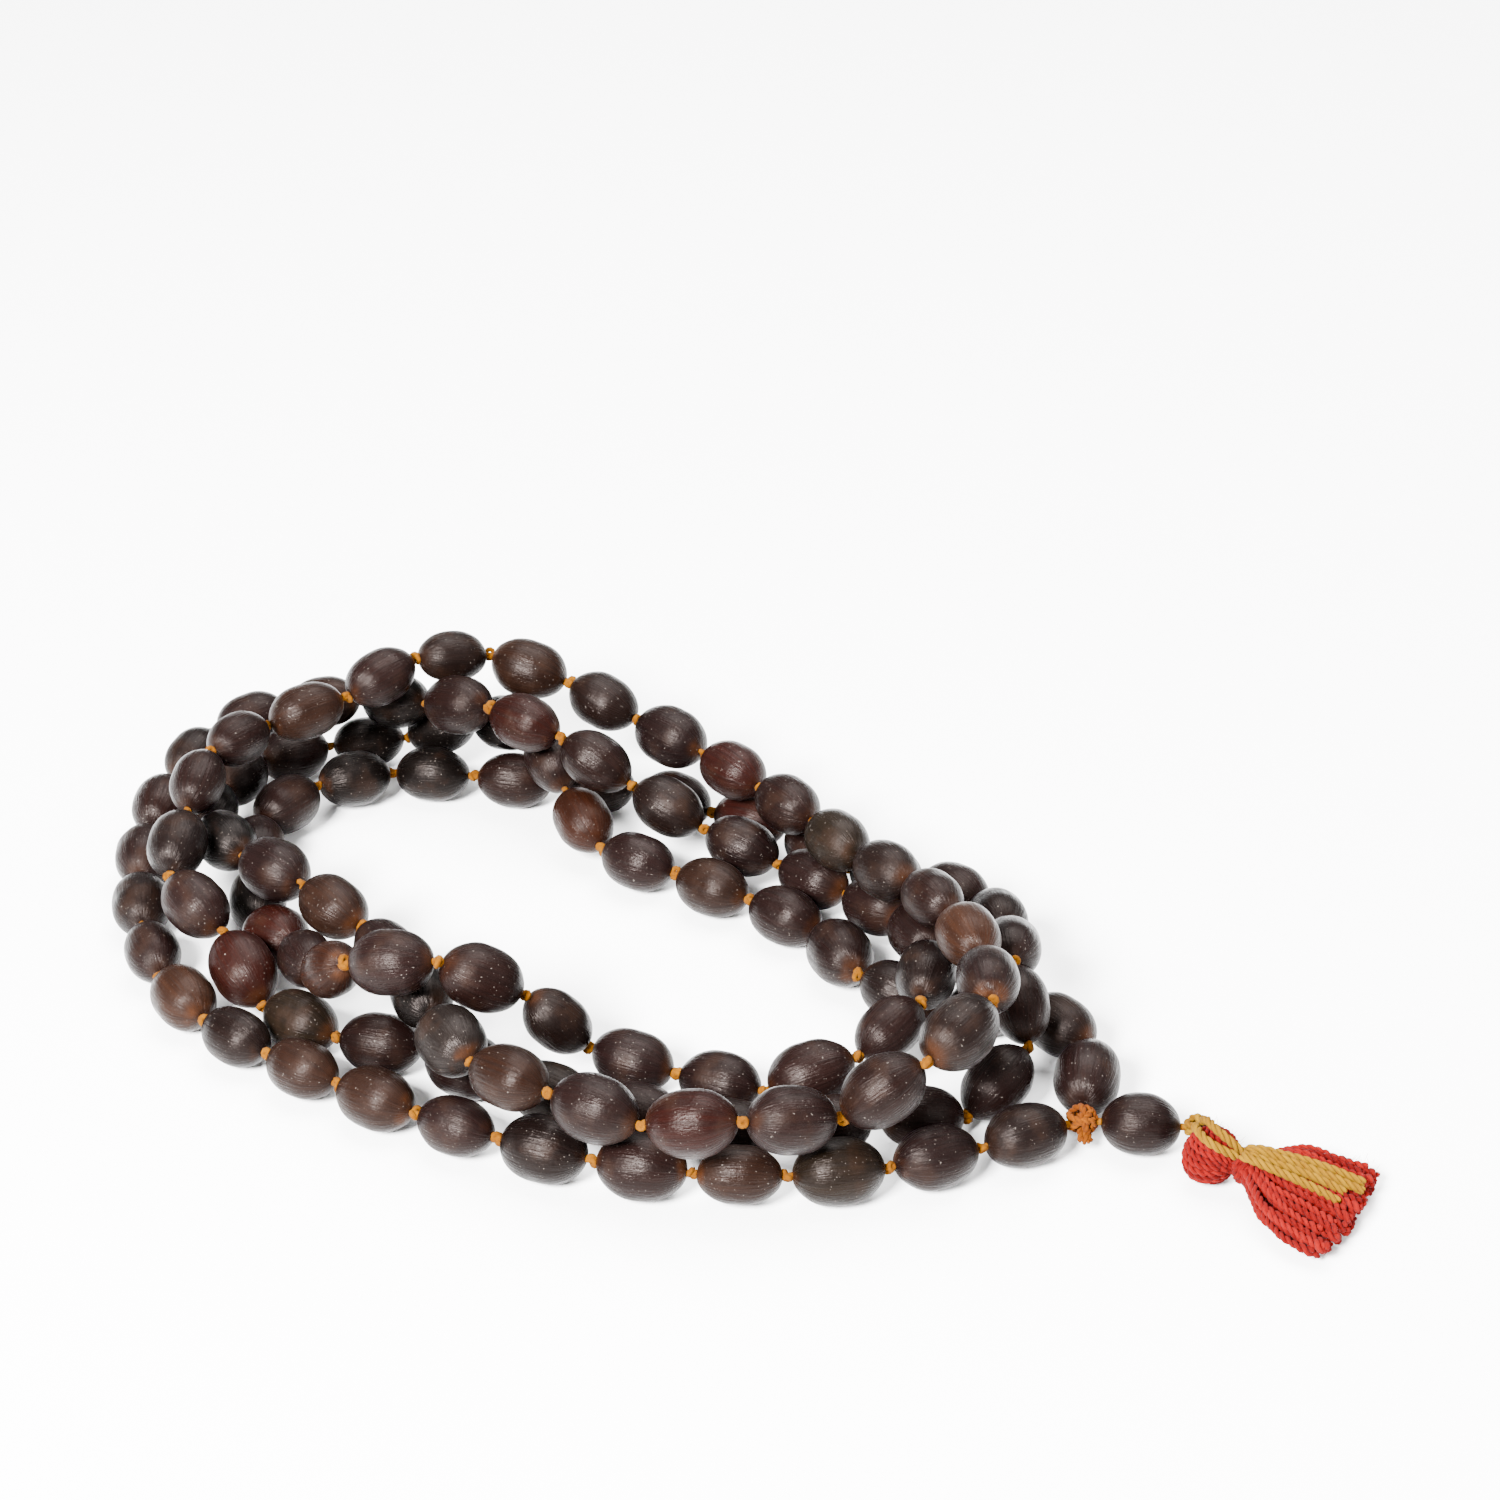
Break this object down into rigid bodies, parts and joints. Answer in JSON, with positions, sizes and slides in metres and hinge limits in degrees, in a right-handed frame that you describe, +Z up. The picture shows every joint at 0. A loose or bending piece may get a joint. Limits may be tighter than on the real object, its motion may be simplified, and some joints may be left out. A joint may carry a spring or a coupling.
{
  "type": "mala prayer beads",
  "caption": "Loop of knotted lotus-seed prayer beads lying coiled on a table, with a guru seed and a red and yellow tassel.",
  "frame": {"origin": "middle of the whole object's footprint, on the surface that it lies on", "axes": "+Z up from the table; +X along the length of the coil, towards the end with the guru seed and tassel; -Y is the near side, where the outer row of seeds runs"},
  "size_m": [0.2047, 0.149, 0.0302],
  "materials": {
    "seed_shell": "dark brown seed shell, satin from handling, fine streaks along its length",
    "cord_orange": "twisted cotton cord, orange yellow, slightly fuzzy",
    "cord_yellow": "twisted cotton cord, golden yellow",
    "yarn_red": "two-ply cotton yarn, coral red"
  },
  "bodies": {
    "coil": {"stringing_cord": "cord_orange", "spacer_knots": "cord_orange", "seeds_back_pass": "seed_shell", "seeds_inner_pass": "seed_shell", "seeds_lower_pass": "seed_shell", "seeds_closing_pass": "seed_shell"},
    "junction": {"junction_knot": "cord_orange"},
    "pendant": {"guru_cord": "cord_orange"},
    "guru": {"guru_seed": "seed_shell"},
    "tassel_knot": {"tassel_knot": "cord_yellow"},
    "tassel": {"tassel_head": "yarn_red", "tassel_skirt": "yarn_red", "tassel_binding": "yarn_red", "tassel_link": "cord_yellow", "head_cords": "cord_yellow", "tassel_tails": "cord_yellow"},
    "seed_001": {"seed_001": "seed_shell"},
    "seed_002": {"seed_002": "seed_shell"},
    "seed_003": {"seed_003": "seed_shell"},
    "seed_004": {"seed_004": "seed_shell"},
    "seed_005": {"seed_005": "seed_shell"},
    "seed_006": {"seed_006": "seed_shell"},
    "seed_007": {"seed_007": "seed_shell"},
    "seed_008": {"seed_008": "seed_shell"},
    "seed_009": {"seed_009": "seed_shell"},
    "seed_010": {"seed_010": "seed_shell"},
    "seed_011": {"seed_011": "seed_shell"},
    "seed_012": {"seed_012": "seed_shell"},
    "seed_013": {"seed_013": "seed_shell"},
    "seed_014": {"seed_014": "seed_shell"},
    "seed_064": {"seed_064": "seed_shell"},
    "seed_065": {"seed_065": "seed_shell"},
    "seed_066": {"seed_066": "seed_shell"},
    "seed_067": {"seed_067": "seed_shell"},
    "seed_068": {"seed_068": "seed_shell"},
    "seed_069": {"seed_069": "seed_shell"},
    "seed_070": {"seed_070": "seed_shell"},
    "seed_071": {"seed_071": "seed_shell"},
    "seed_072": {"seed_072": "seed_shell"},
    "seed_073": {"seed_073": "seed_shell"},
    "seed_074": {"seed_074": "seed_shell"},
    "seed_075": {"seed_075": "seed_shell"},
    "seed_076": {"seed_076": "seed_shell"},
    "seed_077": {"seed_077": "seed_shell"},
    "seed_078": {"seed_078": "seed_shell"},
    "seed_079": {"seed_079": "seed_shell"},
    "seed_080": {"seed_080": "seed_shell"},
    "seed_081": {"seed_081": "seed_shell"},
    "seed_082": {"seed_082": "seed_shell"},
    "seed_083": {"seed_083": "seed_shell"},
    "seed_084": {"seed_084": "seed_shell"},
    "seed_085": {"seed_085": "seed_shell"},
    "seed_086": {"seed_086": "seed_shell"},
    "seed_087": {"seed_087": "seed_shell"},
    "seed_088": {"seed_088": "seed_shell"},
    "seed_089": {"seed_089": "seed_shell"}
  },
  "joints": [
    {"name": "pendant_swing", "type": "hinge", "parent": "coil", "child": "junction", "pos_m": [0.058, -0.045, 0.005], "axis": [0, 0, 1], "range_deg": [-60, 5]},
    {"name": "pendant_lift", "type": "hinge", "parent": "junction", "child": "pendant", "pos_m": [0.058, -0.045, 0.005], "axis": [-0.1045, -0.9945, 0], "range_deg": [0, 55]},
    {"name": "tassel_swing", "type": "hinge", "parent": "pendant", "child": "tassel_knot", "pos_m": [0.0755, -0.04684, 0.005], "axis": [0, 0, 1], "range_deg": [-5, 60]},
    {"name": "tassel_lift", "type": "hinge", "parent": "tassel_knot", "child": "tassel", "pos_m": [0.0755, -0.04684, 0.005], "axis": [-0.5, -0.866, 0], "range_deg": [0, 45]},
    {"name": "guru_spin", "type": "hinge", "parent": "pendant", "child": "guru", "pos_m": [0.067, -0.04595, 0.005], "axis": [0.9945, -0.1045, 0], "continuous": true},
    {"name": "seed_001_spin", "type": "hinge", "parent": "coil", "child": "seed_001", "pos_m": [0.04911, -0.04889, 0.00507], "axis": [-0.916, -0.4011, 0.0073], "continuous": true},
    {"name": "seed_002_spin", "type": "hinge", "parent": "coil", "child": "seed_002", "pos_m": [0.03516, -0.05436, 0.0052], "axis": [-0.9447, -0.3278, 0.0101], "continuous": true},
    {"name": "seed_003_spin", "type": "hinge", "parent": "coil", "child": "seed_003", "pos_m": [0.02036, -0.05797, 0.0053], "axis": [-0.9891, -0.1475, 0.003], "continuous": true},
    {"name": "seed_004_spin", "type": "hinge", "parent": "coil", "child": "seed_004", "pos_m": [0.00545, -0.05878, 0.0053], "axis": [-0.9989, 0.0474, -0.0031], "continuous": true},
    {"name": "seed_005_spin", "type": "hinge", "parent": "coil", "child": "seed_005", "pos_m": [-0.00937, -0.05682, 0.0053], "axis": [-0.9784, 0.2066, 0.0031], "continuous": true},
    {"name": "seed_006_spin", "type": "hinge", "parent": "coil", "child": "seed_006", "pos_m": [-0.02433, -0.05254, 0.0053], "axis": [-0.9395, 0.3425, -0.0035], "continuous": true},
    {"name": "seed_007_spin", "type": "hinge", "parent": "coil", "child": "seed_007", "pos_m": [-0.03812, -0.04668, 0.0052], "axis": [-0.8967, 0.4426, -0.0097], "continuous": true},
    {"name": "seed_008_spin", "type": "hinge", "parent": "coil", "child": "seed_008", "pos_m": [-0.051, -0.03964, 0.00509], "axis": [-0.8574, 0.5146, -0.0058], "continuous": true},
    {"name": "seed_009_spin", "type": "hinge", "parent": "coil", "child": "seed_009", "pos_m": [-0.06337, -0.03171, 0.00502], "axis": [-0.8253, 0.5647, -0.0043], "continuous": true},
    {"name": "seed_010_spin", "type": "hinge", "parent": "coil", "child": "seed_010", "pos_m": [-0.0749, -0.02309, 0.00494], "axis": [-0.7748, 0.6322, -0.0055], "continuous": true},
    {"name": "seed_011_spin", "type": "hinge", "parent": "coil", "child": "seed_011", "pos_m": [-0.08481, -0.01242, 0.00495], "axis": [-0.5778, 0.8162, 0.0061], "continuous": true},
    {"name": "seed_012_spin", "type": "hinge", "parent": "coil", "child": "seed_012", "pos_m": [-0.09168, 0.00044, 0.005], "axis": [-0.3524, 0.9358, 0.0001], "continuous": true},
    {"name": "seed_013_spin", "type": "hinge", "parent": "coil", "child": "seed_013", "pos_m": [-0.09572, 0.01452, 0.00501], "axis": [-0.201, 0.9796, 0.0012], "continuous": true},
    {"name": "seed_014_spin", "type": "hinge", "parent": "coil", "child": "seed_014", "pos_m": [-0.09744, 0.02936, 0.00522], "axis": [-0.0286, 0.9992, 0.0272], "continuous": true},
    {"name": "seed_064_spin", "type": "hinge", "parent": "coil", "child": "seed_064", "pos_m": [-0.08419, 0.00235, 0.01323], "axis": [-0.6668, 0.6937, 0.2724], "continuous": true},
    {"name": "seed_065_spin", "type": "hinge", "parent": "coil", "child": "seed_065", "pos_m": [-0.08864, 0.01486, 0.0169], "axis": [0.0743, 0.9732, 0.2177], "continuous": true},
    {"name": "seed_066_spin", "type": "hinge", "parent": "coil", "child": "seed_066", "pos_m": [-0.08681, 0.029, 0.02036], "axis": [0.1759, 0.9512, 0.2535], "continuous": true},
    {"name": "seed_067_spin", "type": "hinge", "parent": "coil", "child": "seed_067", "pos_m": [-0.08153, 0.04176, 0.02128], "axis": [0.558, 0.8203, -0.1257], "continuous": true},
    {"name": "seed_068_spin", "type": "hinge", "parent": "coil", "child": "seed_068", "pos_m": [-0.07077, 0.05077, 0.02146], "axis": [0.8988, 0.4138, 0.1445], "continuous": true},
    {"name": "seed_069_spin", "type": "hinge", "parent": "coil", "child": "seed_069", "pos_m": [-0.05833, 0.05857, 0.02385], "axis": [0.76, 0.626, 0.1746], "continuous": true},
    {"name": "seed_070_spin", "type": "hinge", "parent": "coil", "child": "seed_070", "pos_m": [-0.04629, 0.06632, 0.02366], "axis": [0.8809, 0.425, -0.2085], "continuous": true},
    {"name": "seed_071_spin", "type": "hinge", "parent": "coil", "child": "seed_071", "pos_m": [-0.03265, 0.06705, 0.02067], "axis": [0.9351, -0.2989, -0.1903], "continuous": true},
    {"name": "seed_072_spin", "type": "hinge", "parent": "coil", "child": "seed_072", "pos_m": [-0.01912, 0.06089, 0.01753], "axis": [0.8311, -0.51, -0.2216], "continuous": true},
    {"name": "seed_073_spin", "type": "hinge", "parent": "coil", "child": "seed_073", "pos_m": [-0.00691, 0.05208, 0.01544], "axis": [0.7667, -0.6396, -0.0549], "continuous": true},
    {"name": "seed_074_spin", "type": "hinge", "parent": "coil", "child": "seed_074", "pos_m": [0.00407, 0.0415, 0.01504], "axis": [0.6667, -0.7453, 0.0043], "continuous": true},
    {"name": "seed_075_spin", "type": "hinge", "parent": "coil", "child": "seed_075", "pos_m": [0.01344, 0.02982, 0.01538], "axis": [0.5821, -0.8121, 0.0408], "continuous": true},
    {"name": "seed_076_spin", "type": "hinge", "parent": "coil", "child": "seed_076", "pos_m": [0.02162, 0.0173, 0.01622], "axis": [0.5095, -0.8576, 0.0711], "continuous": true},
    {"name": "seed_077_spin", "type": "hinge", "parent": "coil", "child": "seed_077", "pos_m": [0.02935, 0.00467, 0.01835], "axis": [0.5213, -0.8262, 0.2137], "continuous": true},
    {"name": "seed_078_spin", "type": "hinge", "parent": "coil", "child": "seed_078", "pos_m": [0.03631, -0.00792, 0.02125], "axis": [0.423, -0.888, 0.1802], "continuous": true},
    {"name": "seed_079_spin", "type": "hinge", "parent": "coil", "child": "seed_079", "pos_m": [0.04123, -0.02153, 0.02336], "axis": [0.2504, -0.9622, 0.1074], "continuous": true},
    {"name": "seed_080_spin", "type": "hinge", "parent": "coil", "child": "seed_080", "pos_m": [0.04336, -0.03618, 0.02516], "axis": [0.0337, -0.9905, 0.133], "continuous": true},
    {"name": "seed_081_spin", "type": "hinge", "parent": "coil", "child": "seed_081", "pos_m": [0.03839, -0.04924, 0.0248], "axis": [-0.6701, -0.7216, -0.1741], "continuous": true},
    {"name": "seed_082_spin", "type": "hinge", "parent": "coil", "child": "seed_082", "pos_m": [0.02679, -0.05616, 0.01914], "axis": [-0.8174, -0.1669, -0.5513], "continuous": true},
    {"name": "seed_083_spin", "type": "hinge", "parent": "coil", "child": "seed_083", "pos_m": [0.01317, -0.05989, 0.01643], "axis": [-0.9284, -0.3111, 0.2034], "continuous": true},
    {"name": "seed_084_spin", "type": "hinge", "parent": "coil", "child": "seed_084", "pos_m": [-0.00161, -0.06091, 0.0166], "axis": [-0.9664, 0.1814, -0.182], "continuous": true},
    {"name": "seed_085_spin", "type": "hinge", "parent": "coil", "child": "seed_085", "pos_m": [-0.01621, -0.05622, 0.01574], "axis": [-0.9051, 0.419, 0.0726], "continuous": true},
    {"name": "seed_086_spin", "type": "hinge", "parent": "coil", "child": "seed_086", "pos_m": [-0.02943, -0.0487, 0.01594], "axis": [-0.8217, 0.5678, -0.0487], "continuous": true},
    {"name": "seed_087_spin", "type": "hinge", "parent": "coil", "child": "seed_087", "pos_m": [-0.03912, -0.03754, 0.01471], "axis": [-0.4525, 0.8848, -0.111], "continuous": true},
    {"name": "seed_088_spin", "type": "hinge", "parent": "coil", "child": "seed_088", "pos_m": [-0.04492, -0.0235, 0.01344], "axis": [-0.3019, 0.9518, -0.0539], "continuous": true},
    {"name": "seed_089_spin", "type": "hinge", "parent": "coil", "child": "seed_089", "pos_m": [-0.05163, -0.0107, 0.01319], "axis": [-0.6176, 0.7862, 0.0212], "continuous": true}
  ]
}
